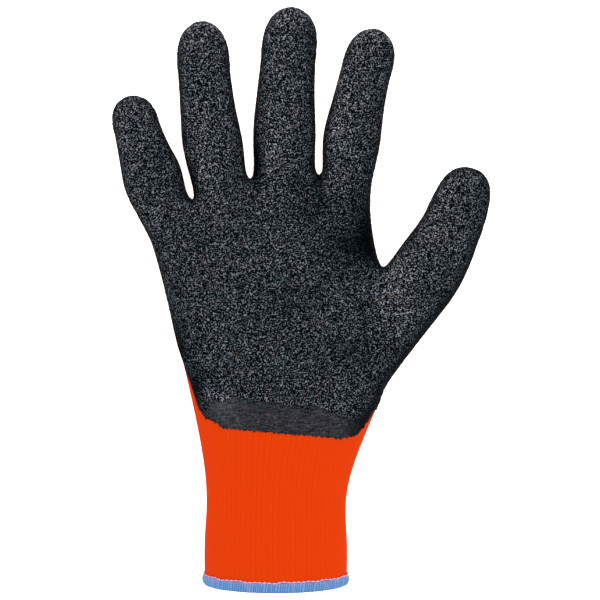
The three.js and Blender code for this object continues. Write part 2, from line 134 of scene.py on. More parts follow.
# Powers by which the coating's edge climbs at the little finger's side and at the thumb's
CLIMB_POWERS = (6, 3)
CAP_SHARE = 0.1
WALES_PER_COLUMN = 3
WEB_COURSES = 3

# A ring of eight points around a finger, as shares of half its width and half its depth. Points 0 to 2 are its
# front, 4 to 6 its back, 3 its thumb's side and 7 its other side. Latex covers its quads of FRONT_SIDE.
CORNER = 0.5 ** (1 / 2.3)
FRONT_HALF = ((-CORNER, CORNER), (0, 1), (CORNER, CORNER), (1, 0))
AROUND = np.array(FRONT_HALF + ((CORNER, -CORNER), (0, -1), (-CORNER, -CORNER), (-1, 0)))
FRONT_SIDE = np.array([True, True, True, False, False, False, False, True])
# The quads that close such a ring over its tip, which is point 8
CAP_QUADS = np.array([(0, 1, 8, 7), (1, 2, 3, 8), (7, 8, 5, 6), (8, 3, 4, 5)])

# The ring of 26 points around palm and cuff: the column of each, from the little finger's side, and 1 on the
# front, -1 on the back and 0 at the two sides
COLUMNS_PER_FINGER = 3
FRONT_COLUMNS = 12
COLUMN = np.r_[np.arange(FRONT_COLUMNS), FRONT_COLUMNS, np.arange(FRONT_COLUMNS)[::-1], -1]
UP = np.r_[np.ones(FRONT_COLUMNS), 0, -np.ones(FRONT_COLUMNS), 0]
# The thumb's root in those rings, as a ring of eight: rows above THUMB_ROW, and places past the thumb's side
ROOT_ROWS = np.array([2, 1, 0, 0, 0, 1, 2, 2])
ROOT_PLACES = np.array([-1, -1, -1, 0, 1, 1, 1, 0])

# How often the net is subdivided for the outer layer of the liner and of the film
LINER_LEVEL = 3
FILM_LEVEL = 4

# The smooth band above the film's lower edge: its height at places across the frame, in metres
BAND_COLUMNS = ("across", "height")
BAND = (
    (-0.046, 0.0),
    (-0.040, 0.0085),
    (-0.033, 0.0135),
    (-0.019, 0.0132),
    (-0.006, 0.0130),
    (0.010, 0.0117),
    (0.020, 0.0090),
    (0.027, 0.0067),
    (0.032, 0.0),
)

# Places of painted shade and painted light on the film, darker or paler than elsewhere: middle and radii in metres,
# and share of change
PAINTED_LIGHT_COLUMNS = ("across", "along", "wide", "high", "change")
PAINTED_LIGHT_SPOTS = (
    (0.0075, 0.0550, 0.002, 0.009, -0.60),
    (0.0320, 0.0275, 0.007, 0.013, -0.80),
    (0.0220, 0.0240, 0.012, 0.008, -0.45),
    (0.0080, 0.0400, 0.014, 0.007, -0.20),
    (-0.0202, 0.0610, 0.0025, 0.011, -0.65),
    (-0.0050, 0.0000, 0.014, 0.008, -0.15),
    (0.0220, -0.0230, 0.013, 0.006, -0.22),
    (0.0450, -0.0250, 0.006, 0.006, -0.20),
    (0.0640, -0.0040, 0.005, 0.010, -0.20),
    (-0.0540, -0.0240, 0.003, 0.014, -0.38),
    (-0.0475, -0.0400, 0.003, 0.010, -0.55),
    (0.0300, -0.0575, 0.007, 0.008, -0.70),
    (0.0350, -0.0370, 0.004, 0.006, -0.25),
    (-0.0485, 0.0530, 0.002, 0.009, -0.45),
    (0.0410, 0.0155, 0.009, 0.0065, 0.42),
    (0.0715, 0.0580, 0.005, 0.006, 0.15),
    (0.0545, 0.0350, 0.005, 0.008, 0.18),
    (0.0620, 0.0470, 0.005, 0.008, 0.18),
    (0.0170, 0.0960, 0.003, 0.010, 0.25),
    (0.0165, 0.0740, 0.003, 0.008, 0.25),
    (-0.0135, 0.0660, 0.003, 0.010, 0.14),
    (-0.0445, 0.0590, 0.003, 0.008, 0.28),
    (-0.0275, 0.0650, 0.002, 0.008, 0.35),
    (0.0052, 0.0650, 0.002, 0.006, 0.40),
    (0.0140, -0.0482, 0.012, 0.003, 0.16),
    (-0.0350, -0.0470, 0.006, 0.007, 0.32),
    (0.0400, 0.0020, 0.010, 0.015, 0.22),
    (0.0700, 0.0330, 0.016, 0.022, 0.07),
    (0.0350, 0.0980, 0.018, 0.034, 0.08),
    (0.0000, 0.0900, 0.018, 0.040, 0.09),
    (-0.0440, 0.0850, 0.018, 0.040, 0.08),
    (-0.0790, 0.0750, 0.014, 0.020, 0.10),
)

# How the film's painted light and shade change, from the first place to the second: y at the palm's top and the
# fingertips, x at the middle of the hand, and the share of a normal that points up
PALM_FADE = (0.04, 0.02)
TIPS_FADE = (0.085, 0.100)
MIDDLE_FADE = (-0.03, 0.0)
FACING_FADE = (0.05, 0.9)
# The darkest painted shade, as a share of full light
DARKEST_PAINTED_SHADE = 0.14

# The film's corner at the little finger's side: its place, how far around it the film is slid, and by how much
FILM_CORNER = np.array((-0.0440, -0.0565))
CORNER_RADIUS = 0.0055
CORNER_SLIDE = np.array((0.0018, 0.0030, 0))

# The film's front edge lies below this y and above this z, and between the last two y its edge gets thicker
FRONT_EDGE = -0.03
FRONT_HEIGHT = 0.012
FEATHER_FADE = (-0.04, -0.02)
# Over what widths the film thins out, its folds fade and the band's upper edge blurs, and that edge's wobble
EDGE_FADE = 0.0035
FOLD_FADE = 0.002
BAND_BLUR = 0.0007
BAND_WOBBLE = 0.0006
# The teeth of the lower edge, the inner layer's depth in the knit, and the outer layer's least height
TEETH_DEPTH = 0.0003
TEETH_REACH = 0.0008
FILM_SINK = 0.0003
FLOOR_GAP = 0.0001

# Fields of waves: wave length in metres, number of waves and seed
WAVES = {
    "long folds": (0.0034, 40, 1),
    "short folds": (0.0023, 40, 2),
    "teeth": (0.0017, 16, 3),
    "band edge": (0.007, 12, 5),
    "uneven wraps": (0.005, 12, 11),
    "violet": (0.0030, 12, 12),
    "needle path": (0.006, 12, 13),
}

# The hem: points along the edge for each wrap and around the profile, the powers that square the profile and
# round each wrap, the wraps' slant and unevenness in wraps, and their fullness
HEM_SAMPLES, HEM_SIDES = 9, 28
HEM_SQUARENESS, WRAP_ROUNDNESS = 0.85, 0.7
WRAP_SLANT, WRAP_UNEVEN = 0.3, 0.15
WRAP_FULLNESS, WRAP_SEED = (0.55, 1.0), 7
# Pink strands over the front of the hem: x and half width, and the z above which the hem is its front
STRANDS = np.array((-0.0404, -0.0242, -0.0040, 0.0113))
STRAND_WIDTH = 0.0006
HEM_FRONT = 0.02
# The needle thread: radius, distance out from the edge, drop below the hem's top, and its sways
NEEDLE_SIDES, NEEDLE_RADIUS = 8, 0.00026
NEEDLE_OUT, NEEDLE_DROP = 0.00035, 0.0002
NEEDLE_SWAY = {"out": 0.00005, "up": 0.0001, "path": 0.0002}

# Colours in linear light. A thread has its shadow, itself, and a strand of the other thread that shows on it.
COLOURS = {
    # Painted shade in the knit's grooves, then the legs' own colour
    "knit groove shade": (0.350, 0.0185, 0.0009, 1),
    "knit leg": (0.430, 0.0278, 0.0012, 1),
    # Painted highlights on the film's crinkle ridges, cool and warm
    "cool ridge highlight": (0.1120, 0.1260, 0.1360, 1),
    "warm ridge highlight": (0.1260, 0.1230, 0.1330, 1),
    "dip": (0.0001, 0.0007, 0.0013),
    "band": (0.0036, 0.0050, 0.0072, 1),
    # Painted highlight streaks along the band
    "streak highlight": (0.0265, 0.0280, 0.0325, 1),
    "dust": (0.0750, 0.0560, 0.0500, 1),
    "speck": (0.15, 0.06, 0.03, 1),
    "blue thread": ((0.040, 0.088, 0.225, 1), (0.110, 0.248, 0.445, 1), (0.27, 0.175, 0.36, 1)),
    "pink thread": ((0.270, 0.180, 0.360, 1), (0.560, 0.370, 0.450, 1), (0.36, 0.20, 0.34, 1)),
}
# Powers that make the film's faint painted ridge highlights bluer than its strong ones, and the scale of the band's
# painted highlight streaks
RIDGE_HIGHLIGHT_POWERS = {"X": 1.39, "Y": 1.22, "Z": 1.17}
STREAK_HIGHLIGHT_SCALE = (300.0, 1300.0, 900.0)


def metres(name, description, default):
    """A named length."""
    return FloatProperty(name=name, description=description, default=default, unit="LENGTH")


def degrees(name, description, default):
    """A named angle."""
    return FloatProperty(name=name, description=description, default=math.radians(default), subtype="ANGLE")


class GloveSizes(bpy.types.PropertyGroup):
    """The glove's named sizes."""

    cuff_length: metres("Cuff length", "Hem to wrist", 0.0413)
    cuff_breadth: metres("Cuff breadth", "Across the hem", 0.0646)
    cuff_depth: metres("Cuff depth", "Front to back at the hem", 0.038)
    palm_length: metres("Palm length", "Wrist to crotches", 0.139)
    palm_breadth: metres("Palm breadth", "Nominal breadth", 0.092)
    palm_depth: metres("Palm depth", "Nominal thickness", 0.036)
    knit_wall: metres("Knit wall", "Thickness of the knit", 0.0016)
    little_length: metres("Little length", "Little finger", 0.048)
    little_width: metres("Little width", "Little finger", 0.0194)
    ring_length: metres("Ring length", "Ring finger", 0.0735)
    ring_width: metres("Ring width", "Ring finger", 0.0238)
    middle_length: metres("Middle length", "Middle finger", 0.074)
    middle_width: metres("Middle width", "Middle finger", 0.025)
    index_length: metres("Index length", "Index finger", 0.0665)
    index_width: metres("Index width", "Index finger", 0.0228)
    thumb_length: metres("Thumb length", "Root to tip", 0.083)
    thumb_width: metres("Thumb width", "Across the thumb", 0.026)
    finger_depth: FloatProperty(
        name="Finger depth", description="Depth over width", default=0.9, subtype="FACTOR"
    )
    finger_rise: metres("Finger rise", "How far the tips curl up", 0.009)
    crotch_gap: metres("Crotch gap", "Between two finger roots", 0.004)
    web_round: metres("Web round", "Rounding of the webs", 0.003)
    rest_sag: metres("Rest sag", "Depth of back that is flattened", 0.0016)
    cuff_lift: metres("Cuff lift", "Cuff above the surface", 0.0022)
    cuff_tilt: metres("Cuff tilt", "Front of the hem beyond its back", 0.007)
    left_rise: metres("Left rise", "Climb of the coating's edge", 0.036)
    right_rise: metres("Right rise", "Climb of the coating's edge", 0.015)
    coat_slope: metres("Coat slope", "Fall of the coating's edge", 0.0032)
    left_start: degrees("Left start", "Where the edge climbs", 118)
    right_start: degrees("Right start", "Where the edge climbs", 50)
    coat_thickness: metres("Coating", "Height over the knit", 0.0009)
    coat_feather: metres("Feathered edge", "Height at its edge", 0.0003)
    crinkle: metres("Crinkle", "Depth of the modelled folds", 0.00025)
    stitch_height: metres("Course", "Height of one knit course", 0.0016)
    hem_height: metres("Hem height", "Height of the overlocked hem", 0.005)
    hem_thread: metres("Hem thread", "Thickness over the knit", 0.0012)
    hem_wraps: IntProperty(name="Wraps", description="Thread wraps around the hem", default=150)
    fit_rounds: IntProperty(name="Fit rounds", description="Rounds that fit the net to its points", default=14)


def named(columns, rows):
    """A table's columns by name, each as an array."""
    return dict(zip(columns, np.array(rows, float).T))


def smoothstep(low, high, value):
    """0 below low, 1 above high and smooth between."""
    share = np.clip((value - low) / (high - low), 0, 1)
    return share * share * (3 - 2 * share)


def mix(a, b, share):
    """a at share 0 and b at share 1."""
    return a + (b - a) * share


class Net:
    """Points, quads that share them, and the knit's wale and course at each corner of each quad."""

    def __init__(self):
        self.points = np.zeros((0, 3))
        self.quads, self.stitches, self.coated = [], [], []

    def add(self, places):
        """Adds places of any shape (..., 3) and gives their numbers in that shape."""
        first = len(self.points)
        self.points = np.r_[self.points, places.reshape(-1, 3)]
        return first + np.arange(len(self.points) - first).reshape(places.shape[:-1])

    def cover(self, quads, stitches, coated):
        """Adds quads of any shape (..., 4) with stitches (..., 4, 2) and whether latex covers each."""
        self.quads.append(quads.reshape(-1, 4))
        self.stitches.append(np.broadcast_to(stitches, quads.shape + (2,)).reshape(-1, 4, 2))
        self.coated.append(np.broadcast_to(coated, quads.shape[:-1]).reshape(-1))

    def parts(self):
        """Points, quads, stitches and coated, each as one array."""
        return self.points, *(np.concatenate(part) for part in (self.quads, self.stitches, self.coated))


def ring_quads(low, high):
    """The quads between two rings (..., n) of point numbers, as (..., n, 4)."""
    return np.stack([low, np.roll(low, -1, -1), np.roll(high, -1, -1), high], -1)


def ring_stitches(low, high, count):
    """Wales run on around a ring of count quads; low and high are the courses (..., n) at its two edges."""
    wale = WALES_PER_COLUMN * np.broadcast_to(np.arange(count), low.shape)
    next_wale = wale + WALES_PER_COLUMN
    corners = [
        (wale, low),
        (next_wale, np.roll(low, -1, -1)),
        (next_wale, np.roll(high, -1, -1)),
        (wale, high),
    ]
    return np.stack([np.stack(corner, -1) for corner in corners], -2)


def cap(net, ring, tip, course, height):
    """Four quads that close a ring of eight, at a course, over its tip point, a height in courses above it."""
    left = np.array([(0, 0), (WALES_PER_COLUMN, 0), (WALES_PER_COLUMN, 1), (0, 1)])
    flat = np.stack([left, left + (WALES_PER_COLUMN, 0)] * 2) * np.array([1, height])
    net.cover(np.r_[ring, tip][CAP_QUADS], flat + np.array([0, 1]) * course, True)


def coated_quads(sections):
    """Latex covers the front of each section of a finger, and all of the last."""
    return FRONT_SIDE | (np.arange(len(sections))[:, None] == len(sections) - 1)


def rings_around(centre, lean, climb, width, depth):
    """Rings of eight (..., 8, 3) square to directions that lean in the plane and climb from it."""
    across = np.stack([np.cos(lean), -np.sin(lean), np.zeros_like(lean)], -1)
    along = np.stack([np.sin(lean) * np.cos(climb), np.cos(lean) * np.cos(climb), np.sin(climb)], -1)
    up = np.cross(across, along)
    half_width = (AROUND[:, 0] * width[..., None] / 2)[..., None]
    half_depth = (AROUND[:, 1] * depth[..., None] / 2)[..., None]
    return centre[..., None, :] + half_width * across[..., None, :] + half_depth * up[..., None, :]


def stretch(sizes, along):
    """Length from the hem at the share along, where 1 is the wrist and 2 the finger crotches."""
    return np.where(along <= 1, along * sizes.cuff_length, sizes.cuff_length + (along - 1) * sizes.palm_length)


def hand_section(sizes, level):
    """The hand's section at a level above the hem, straight between the stations."""
    table = named(STATION_COLUMNS, STATIONS)
    on_cuff = table["along"] < 1
    breadth = np.where(on_cuff, sizes.cuff_breadth, sizes.palm_breadth)
    scale = {"left": -breadth, "right": breadth, "depth": np.where(on_cuff, sizes.cuff_depth, sizes.palm_depth)}
    levels = stretch(sizes, table["along"])
    return {key: np.interp(level, levels, table[key] * scale.get(key, 1.0)) for key in STATION_COLUMNS[1:]}


def finger_roots(sizes, widths):
    """The finger roots' centres (4, 3) and rings (4, 8, 3), which lie on the knuckle line."""
    line = named(CROTCH_COLUMNS, CROTCHES)
    x, y = line["across"] * sizes.palm_breadth, sizes.cuff_length + line["along"] * sizes.palm_length
    gap = sizes.crotch_gap / 2
    left, right = x[:-1] + gap * np.array((0, 1, 1, 1)), x[1:] - gap * np.array((1, 1, 1, 0))
    half = hand_section(sizes, stretch(sizes, AT_CROTCHES))["depth"] / 2 * widths / sizes.middle_width
    middle = half - sizes.rest_sag
    across, up = AROUND.T
    on_web = np.where(across == 0, 0, np.abs(up))
    rings = np.stack(
        [
            ((left + right) / 2)[:, None] + across * ((right - left) / 2)[:, None],
            mix(y[:-1, None], y[1:, None], (across + 1) / 2) - sizes.web_round * on_web,
            middle[:, None] + up * half[:, None],
        ],
        -1,
    )
    return np.stack([(left + right) / 2, (y[:-1] + y[1:]) / 2, middle], -1), rings, y.mean()


def edge_climb(sizes, angle, little_bow, thumb_bow):
    """How far the coating's lower edge lies above its lowest row at an angle round the wrist."""
    to_little = np.maximum(0, (angle - sizes.left_start) / (math.pi - sizes.left_start))
    to_thumb = np.maximum(0, (sizes.right_start - angle) / sizes.right_start)
    little_power, thumb_power = CLIMB_POWERS
    little_climb = sizes.left_rise * to_little**little_power - sizes.coat_slope * np.cos(angle)
    return little_bow * little_climb + thumb_bow * sizes.right_rise * to_thumb**thumb_power


def palm_rings(sizes, knuckles, knuckle_mean):
    """The rings of 26 around cuff and palm, (rows, 26, 3): each is a superellipse section that turns into the
    knuckles' ring towards the fingers, and the cuff's edge leans with its front beyond its back."""
    row = {key: column[:, None] for key, column in named(ROW_COLUMNS, ROWS).items()}
    angle = math.pi * (1 - (COLUMN + 1) / (FRONT_COLUMNS + 1))
    root = hand_section(sizes, stretch(sizes, AT_CROTCHES))
    knuckle_u = (knuckles[:, 0] - (root["left"] + root["right"]) / 2) / ((root["right"] - root["left"]) / 2)
    to_knuckles = smoothstep(KNUCKLES_FROM, AT_CROTCHES, row["along"]) * (UP != 0)
    spread = mix(np.cos(angle), knuckle_u, to_knuckles)
    u = spread * np.where((spread > 0) & (UP != 0), 1 - row["thumb_inset"], 1)
    level = stretch(sizes, row["along"]) + edge_climb(sizes, angle, row["little_bow"], row["thumb_bow"])
    level = level + row["knuckle_bow"] * (knuckles[:, 1] - knuckle_mean)
    section = hand_section(sizes, level)
    underside = section["lift"] * sizes.cuff_lift - (1 - section["lift"]) * sizes.rest_sag
    power = np.where(u < 0, section["little_side"], section["thumb_side"])
    height = np.maximum(0, 1 - np.abs(u) ** power) ** (1 / power)
    z = mix(underside + section["depth"] / 2 * (1 + UP * height), knuckles[:, 2], row["knuckle_bow"])
    tilt = sizes.cuff_tilt * (z / section["depth"] - 0.5) * np.maximum(0, 1 - row["along"])
    x = (section["left"] + section["right"]) / 2 + u * (section["right"] - section["left"]) / 2
    return np.stack([x, level - tilt, z], -1)


def add_fingers(net, sizes):
    """Adds the four fingers and the webs between them; gives their root rings and the knuckle line's mean."""
    course = sizes.stitch_height
    fingers = ("little", "ring", "middle", "index")
    lengths = np.array([getattr(sizes, finger + "_length") for finger in fingers])[:, None]
    widths = np.array([getattr(sizes, finger + "_width") for finger in fingers])
    centres, roots, knuckle_mean = finger_roots(sizes, widths)
    part, lean = named(FINGER_COLUMNS, FINGER_SECTIONS), named(LEAN_COLUMNS, LEANS)
    root_lean, tip_lean = np.radians(lean["root"])[:, None], np.radians(lean["tip"])[:, None]
    flare = 1 + lean["flare"][:, None] * (1 - part["along"])
    along = np.r_[part["along"], 1]
    bend = mix(root_lean, tip_lean, along / 2)
    reach = lengths * along
    rise = np.broadcast_to(sizes.finger_rise * along**2, bend.shape)
    middles = centres[:, None] + np.stack([reach * np.sin(bend), reach * np.cos(bend), rise], -1)
    rings = rings_around(
        middles[:, :-1],
        mix(root_lean, tip_lean, part["along"]),
        np.arctan2(2 * sizes.finger_rise * part["along"], lengths),
        part["width"] * widths[:, None] * flare,
        part["depth"] * widths[:, None] * sizes.finger_depth,
    )
    root_ids, ring_ids, tip_ids = net.add(roots), net.add(rings), net.add(middles[:, -1])
    chain = np.concatenate([root_ids[:, None], ring_ids], 1)
    far = (centres[:, 1, None] + lengths * part["along"]) / course
    courses = np.broadcast_to(far[..., None], ring_ids.shape)
    courses = np.concatenate([roots[:, None, :, 1] / course, courses], 1)
    stitches = ring_stitches(courses[:, :-1], courses[:, 1:], len(AROUND))
    net.cover(ring_quads(chain[:, :-1], chain[:, 1:]), stitches, coated_quads(FINGER_SECTIONS))
    for finger, height in enumerate(CAP_SHARE * lengths[:, 0] / course):
        cap(net, ring_ids[finger, -1], tip_ids[finger], far[finger, -1], height)
    flat = np.array([(0, 0), (WALES_PER_COLUMN, 0), (WALES_PER_COLUMN, WEB_COURSES), (0, WEB_COURSES)])
    one, other = root_ids[:-1], root_ids[1:]
    net.cover(np.stack([one[:, 2], other[:, 0], other[:, 7], one[:, 3]], -1), flat, True)
    net.cover(np.stack([one[:, 3], other[:, 7], other[:, 6], one[:, 4]], -1), flat, False)
    return root_ids, knuckle_mean


def add_palm(net, sizes, root_ids, knuckle_mean):
    """Adds palm and cuff below the fingers' roots, but for a hole for the thumb; gives their point numbers."""
    finger = np.clip(COLUMN, 0, FRONT_COLUMNS - 1) // COLUMNS_PER_FINGER
    place = COLUMN % COLUMNS_PER_FINGER
    knuckle_ids = np.where(UP > 0, root_ids[finger, place], root_ids[finger, 6 - place])
    knuckle_ids[UP == 0] = root_ids[3, 3], root_ids[0, 7]
    palm_ids = net.add(palm_rings(sizes, net.points[knuckle_ids], knuckle_mean))
    chain = np.r_[palm_ids, knuckle_ids[None]]
    courses = net.points[chain][..., 1] / sizes.stitch_height
    rows, places = np.arange(len(ROWS))[:, None], np.arange(len(COLUMN))
    kept = ~(np.isin(rows, (THUMB_ROW, THUMB_ROW + 1)) & np.isin(places, (FRONT_COLUMNS - 1, FRONT_COLUMNS)))
    coated = (rows >= COAT_ROW) & ((places < FRONT_COLUMNS) | (places == len(COLUMN) - 1))
    stitches = ring_stitches(courses[:-1], courses[1:], len(COLUMN))
    net.cover(ring_quads(chain[:-1], chain[1:])[kept], stitches[kept], coated[kept])
    return palm_ids


def add_thumb(net, sizes, palm_ids):
    """Adds the thumb over the hole in the palm's side."""
    root = palm_ids[THUMB_ROW + ROOT_ROWS, FRONT_COLUMNS + ROOT_PLACES]
    part = named(THUMB_COLUMNS, THUMB_SECTIONS)
    lean = np.radians(np.r_[part["lean"], THUMB_TIP_LEAN])
    along = np.r_[part["along"], 1]
    steps = np.diff(np.r_[0, along]) * sizes.thumb_length
    path = [np.cumsum(steps * np.sin(lean)), np.cumsum(steps * np.cos(lean)), sizes.finger_rise * along**2]
    middles = net.points[root].mean(0) + np.stack(path, -1)
    climb = np.arctan2(2 * sizes.finger_rise * part["along"], sizes.thumb_length)
    depth = part["depth"] * sizes.thumb_width * sizes.finger_depth
    rings = rings_around(middles[:-1], lean[:-1], climb, part["width"] * sizes.thumb_width, depth)
    ring_ids, tip_id = net.add(rings), net.add(middles[-1:])[0]
    chain = np.r_[root[None], ring_ids]
    far = np.r_[0, part["along"]][:, None] * sizes.thumb_length / sizes.stitch_height
    courses = np.broadcast_to(far, chain.shape)
    stitches = ring_stitches(courses[:-1], courses[1:], len(AROUND))
    net.cover(ring_quads(chain[:-1], chain[1:]), stitches, coated_quads(THUMB_SECTIONS))
    cap(net, ring_ids[-1], tip_id, courses[-1, 0], CAP_SHARE * sizes.thumb_length / sizes.stitch_height)


def hand_net(sizes):
    """The whole coarse net: fingers, webs, palm and cuff, and the thumb out of the palm's side."""
    net = Net()
    palm_ids = add_palm(net, sizes, *add_fingers(net, sizes))
    add_thumb(net, sizes, palm_ids)
    return net.parts()


def edges_of(quads, count):
    """The edges' ends (e, 2), the edge of each quad's side (f, 4), and how many quads share each edge."""
    ends = np.stack([quads, np.roll(quads, -1, 1)], -1)
    low, high = ends.min(-1), ends.max(-1)
    keys, side_edge, shared = np.unique(low * count + high, return_inverse=True, return_counts=True)
    return np.stack([keys // count, keys % count], -1), side_edge.reshape(quads.shape), shared


def summed(count, where, values):
    """For each of count points the sum of the values that name it."""
    total = np.zeros((count,) + values.shape[1:])
    np.add.at(total, where, values)
    return total


class Around:
    """What smooth subdivision needs to know about each point's surroundings."""

    def __init__(self, quads, count):
        self.quads, self.count = quads, count
        self.edges, self.side_edge, self.shared = edges_of(quads, count)
        self.ends = np.r_[self.edges, self.edges[:, ::-1]]
        self.valence = summed(count, self.ends[:, 0], np.ones(len(self.ends)))[:, None]
        rim = self.edges[self.shared == 1]
        self.rim_ends = np.r_[rim, rim[:, ::-1]]
        self.on_rim = np.zeros((count, 1), bool)
        self.on_rim[rim.reshape(-1)] = True

    def neighbours(self, points):
        """For each point the sum of the points that edges join to it, and of those that rim edges join."""
        return [summed(self.count, ends[:, 0], points[ends[:, 1]]) for ends in (self.ends, self.rim_ends)]

    def limit(self, points):
        """Where smooth subdivision brings each point in the end."""
        near, along_rim = self.neighbours(points)
        opposite = summed(self.count, self.quads.reshape(-1), points[np.roll(self.quads, 2, 1)].reshape(-1, 3))
        n = self.valence
        inside = (n * n * points + 4 * near + opposite) / (n * (n + 5))
        return np.where(self.on_rim, (4 * points + along_rim) / 6, inside)

    def subdivide(self, points):
        """One step of smooth subdivision: the old points moved, then a point for each quad and each edge."""
        centres = points[self.quads].mean(1)
        near, along_rim = self.neighbours(points)
        own = summed(self.count, self.quads.reshape(-1), np.repeat(centres, 4, 0))
        n = self.valence
        inside = (n * (n - 2) * points + near + own) / (n * n)
        moved = np.where(self.on_rim, (6 * points + along_rim) / 8, inside)
        beside = summed(len(self.edges), self.side_edge.reshape(-1), np.repeat(centres, 4, 0))
        ends = points[self.edges].sum(1)
        edge_points = np.where((self.shared == 1)[:, None], ends / 2, (ends + beside) / 4)
        return np.r_[moved, centres, edge_points]

    def finer(self):
        """The four quads in place of each quad, in the numbering that subdivide gives."""
        centre = self.count + np.arange(len(self.quads))[:, None] + np.zeros((1, 4), int)
        edge = self.count + len(self.quads) + self.side_edge
        return np.stack([self.quads, edge, centre, np.roll(edge, 1, 1)], -1).reshape(-1, 4)


def finer_stitches(stitches):
    """The stitches at the corners of the four quads in place of each quad."""
    after, before = np.roll(stitches, -1, 1), np.roll(stitches, 1, 1)
    centre = np.broadcast_to(stitches.mean(1, keepdims=True), stitches.shape)
    return np.stack([stitches, (stitches + after) / 2, centre, (stitches + before) / 2], 2).reshape(-1, 4, 2)


def normals_of(points, quads):
    """A normal for each point, from the quads around it weighted by their area."""
    corners = points[quads]
    normal = np.cross(corners[:, 2] - corners[:, 0], corners[:, 3] - corners[:, 1])
    total = summed(len(points), quads.reshape(-1), np.repeat(normal, 4, 0))
    return total / np.maximum(np.linalg.norm(total, axis=1, keepdims=True), 1e-12)


class Surface:
    """The knit's outer surface at one level of subdivision."""

    def __init__(self, net, quads, stitches, coated):
        self.net, self.quads, self.stitches, self.coated = net, quads, stitches, coated
        self.around = Around(quads, len(net))
        self.points = self.around.limit(net)
        self.points[:, 2] = np.maximum(0, self.points[:, 2])
        self.normals = normals_of(self.points, quads)

    def refined(self):
        """The same surface one level finer."""
        net, quads = self.around.subdivide(self.net), self.around.finer()
        return Surface(net, quads, finer_stitches(self.stitches), np.repeat(self.coated, 4))


def hand_surfaces(sizes, levels):
    """The knit's surface at levels 0 to levels, fitted through the net's points and set as in the frame."""
    points, quads, stitches, coated = hand_net(sizes)
    used, quads = np.unique(quads, return_inverse=True)
    quads = quads.reshape(-1, 4)
    targets = points[used]
    around = Around(quads, len(targets))
    net = targets.copy()
    for _ in range(sizes.fit_rounds):
        net += targets - around.limit(net)
    low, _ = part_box("knit_cuff")
    station = named(STATION_COLUMNS, STATIONS)
    net[:, 0] += low.x + station["left"][0] * sizes.cuff_breadth
    surfaces = [Surface(net, quads, stitches, coated)]
    while len(surfaces) <= levels:
        surfaces.append(surfaces[-1].refined())
    shift = low.y - surfaces[-1].points[:, 1].min()
    for surface in surfaces:
        surface.points[:, 1] += shift
    return surfaces


def rim_of(coarse, keep):
    """The directed open edges of the kept quads: start, the finer level's point between, and end."""
    quads, side_edge = coarse.quads[keep], coarse.around.side_edge[keep]
    shared = np.bincount(side_edge.reshape(-1), minlength=len(coarse.around.edges))
    is_open = shared[side_edge] == 1
    ends = np.stack([quads, np.roll(quads, -1, 1)], -1)[is_open]
    middle = len(coarse.net) + len(coarse.quads) + side_edge[is_open]
    return ends[:, 0], middle, ends[:, 1]


def rim_polygons(ends, first):
    """The polygons of five that join an outer layer's open edges to the inner layer's points, from first on."""
    start, middle, end = ends
    return np.stack([end, middle, start, first + start, first + end], -1)


def make_mesh(name, points, polygons, stitches=None, values=None):
    """A smooth mesh object from points and arrays (n, k) of polygons, with its stitches as UV map knit and one
    number for each point in each of values. Points that no polygon uses are left out."""
    corners = np.concatenate([part.reshape(-1) for part in polygons])
    sides = np.concatenate([np.full(len(part), part.shape[1]) for part in polygons])
    used, corners = np.unique(corners, return_inverse=True)
    mesh = bpy.data.meshes.new(name)
    mesh.vertices.add(len(used))
    mesh.vertices.foreach_set("co", points[used].astype(np.float32).reshape(-1))
    mesh.loops.add(len(corners))
    mesh.loops.foreach_set("vertex_index", corners.reshape(-1).astype(np.int32))
    mesh.polygons.add(len(sides))
    mesh.polygons.foreach_set("loop_start", (np.cumsum(sides) - sides).astype(np.int32))
    mesh.polygons.foreach_set("use_smooth", np.ones(len(sides), bool))
    if stitches is not None:
        layer = mesh.uv_layers.new(name="knit")
        flat = np.concatenate([part.reshape(-1, 2) for part in stitches])
        layer.uv.foreach_set("vector", flat.astype(np.float32).reshape(-1))
    for key, value in (values or {}).items():
        attribute = mesh.attributes.new(key, "FLOAT", "POINT")
        attribute.data.foreach_set("value", value[used].astype(np.float32))
    mesh.update(calc_edges=True)
    mesh.validate()
    item = bpy.data.objects.new(name, mesh)
    bpy.context.scene.collection.objects.link(item)
    return item


def waves(points, field):
    """A smooth random field of about unit size: plane waves of one length in random directions, added up."""
    wave_length, count, seed = WAVES[field]
    random = np.random.default_rng(seed)
    direction = random.normal(size=(count, 3))
    direction *= 2 * math.pi / wave_length / np.linalg.norm(direction, axis=1, keepdims=True)
    phase = random.uniform(0, 2 * math.pi, count)
    return np.cos(points @ direction.T + phase).sum(-1) * math.sqrt(2 / count)


def distance_to(points, targets, step=4000):
    """The distance from each point to the nearest target, worked out for step points at a time."""
    blocks = [points[first : first + step] for first in range(0, len(points), step)]
    found = []
    for block in blocks:
        squared = (block**2).sum(1)[:, None] - 2 * block @ targets.T + (targets**2).sum(1)
        found.append(np.sqrt(np.maximum(squared.min(1), 0)))
    return np.concatenate(found)


def new_material(name):
    """A new material with its node tree and its surface shader."""
    material = bpy.data.materials.new(name)
    material.use_nodes = True
    return material, material.node_tree, material.node_tree.nodes["Principled BSDF"]


def node(tree, kind, inputs=None, **settings):
    """A node with its settings; an input is a constant or the output that it is linked from."""
    made = tree.nodes.new(kind)
    for key, value in settings.items():
        setattr(made, key, value)
    for key, value in (inputs or {}).items():
        if isinstance(value, bpy.types.NodeSocket):
            tree.links.new(value, made.inputs[key])
        else:
            made.inputs[key].default_value = value
    return made


def math_node(tree, operation, *values):
    """The result of one math node."""
    return node(tree, "ShaderNodeMath", dict(enumerate(values)), operation=operation).outputs[0]


def ramp(tree, value, low, high, to_low=0.0, to_high=1.0):
    """A smooth step of the value from low to high."""
    inputs = {"Value": value, "From Min": low, "From Max": high, "To Min": to_low, "To Max": to_high}
    return node(tree, "ShaderNodeMapRange", inputs, interpolation_type="SMOOTHSTEP").outputs["Result"]


